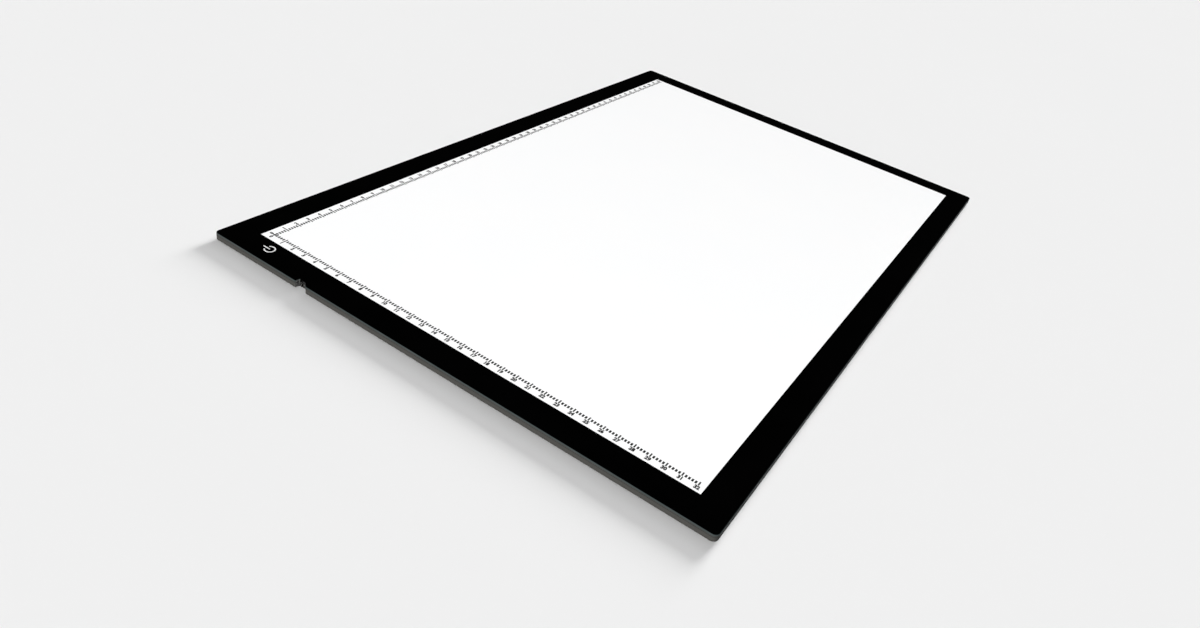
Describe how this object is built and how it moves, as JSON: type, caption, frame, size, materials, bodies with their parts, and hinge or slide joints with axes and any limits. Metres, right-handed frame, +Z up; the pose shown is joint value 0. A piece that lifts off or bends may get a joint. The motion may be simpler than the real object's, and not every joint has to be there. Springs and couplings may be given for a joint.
{
  "type": "light box",
  "caption": "Slim edge-lit tracing light box: clear panel over a lit window and black border, plug notch, light guide, LED rows, control board, moulded cover and rubber feet.",
  "frame": {"origin": "centre of the plane the rubber feet stand on, under the middle of the box", "axes": "+X along the long side, the way the long ruler counts; +Y towards the long edge with that ruler; +Z up, out of the lit face"},
  "size_m": [0.57, 0.37, 0.0065],
  "materials": {
    "clear_acrylic": "polished clear acrylic",
    "black_film": "gloss black under clear acrylic",
    "cover_plastic": "fine satin texture",
    "label": "blank matt label",
    "rail_plastic": "plain moulded",
    "tape": "double-sided tape",
    "reflector": "white reflector film",
    "guide_acrylic": "polished acrylic with a printed dot pattern",
    "lit_film": "white diffuser, evenly lit",
    "row_board": "white solder mask",
    "aluminium": "mill finish",
    "circuit_board": "green solder mask",
    "insulator": "thin polyester sheet",
    "steel": "black zinc",
    "chip": "moulded epoxy",
    "ferrite": "pressed ferrite",
    "ceramic": "ceramic chip",
    "nickel": "nickel plate",
    "connector": "ivory nylon",
    "black_lead": "soft insulation",
    "red_lead": "soft insulation",
    "rubber": "moulded rubber"
  },
  "bodies": {
    "root": {"front_panel": "clear_acrylic", "border_film": "black_film", "back_cover": "cover_plastic", "blank_label": "label", "rail_rear": "rail_plastic", "rail_front": "rail_plastic", "rail_right": "rail_plastic", "rail_left_lower": "rail_plastic", "rail_left_upper": "rail_plastic", "panel_tape_rear": "tape", "panel_tape_front": "tape", "panel_tape_right": "tape", "panel_tape_left_lower": "tape", "reflector_sheet": "reflector", "light_guide_plate": "guide_acrylic", "diffuser_film": "lit_film", "led_row_rear": "row_board", "led_row_front": "row_board", "thermal_tape_rear": "tape", "thermal_tape_front": "tape", "heat_channel_rear": "aluminium", "heat_channel_front": "aluminium", "control_board": "circuit_board", "board_insulator": "insulator", "board_screw_1": "steel", "board_screw_2": "steel", "touch_controller": "chip", "led_driver": "chip", "power_transistor": "chip", "rectifier_diode": "chip", "choke": "ferrite", "input_capacitor": "ceramic", "output_capacitor": "ceramic", "power_jack_body": "chip", "power_jack_sleeve": "nickel", "power_jack_pin": "nickel", "touch_spring": "nickel", "lead_connector_rear": "connector", "lead_connector_front": "connector", "row_lead_rear_minus": "black_lead", "row_lead_front_minus": "black_lead", "row_lead_rear_plus": "red_lead", "row_lead_front_plus": "red_lead", "rubber_foot_1": "rubber", "rubber_foot_2": "rubber", "rubber_foot_3": "rubber", "rubber_foot_4": "rubber", "rubber_foot_5": "rubber", "rubber_foot_6": "rubber", "cover_screw_1": "steel", "cover_screw_2": "steel", "cover_screw_3": "steel", "cover_screw_4": "steel", "cover_screw_5": "steel", "cover_screw_6": "steel", "cover_screw_7": "steel", "cover_screw_8": "steel", "cover_screw_9": "steel", "cover_screw_10": "steel"}
  },
  "joints": []
}
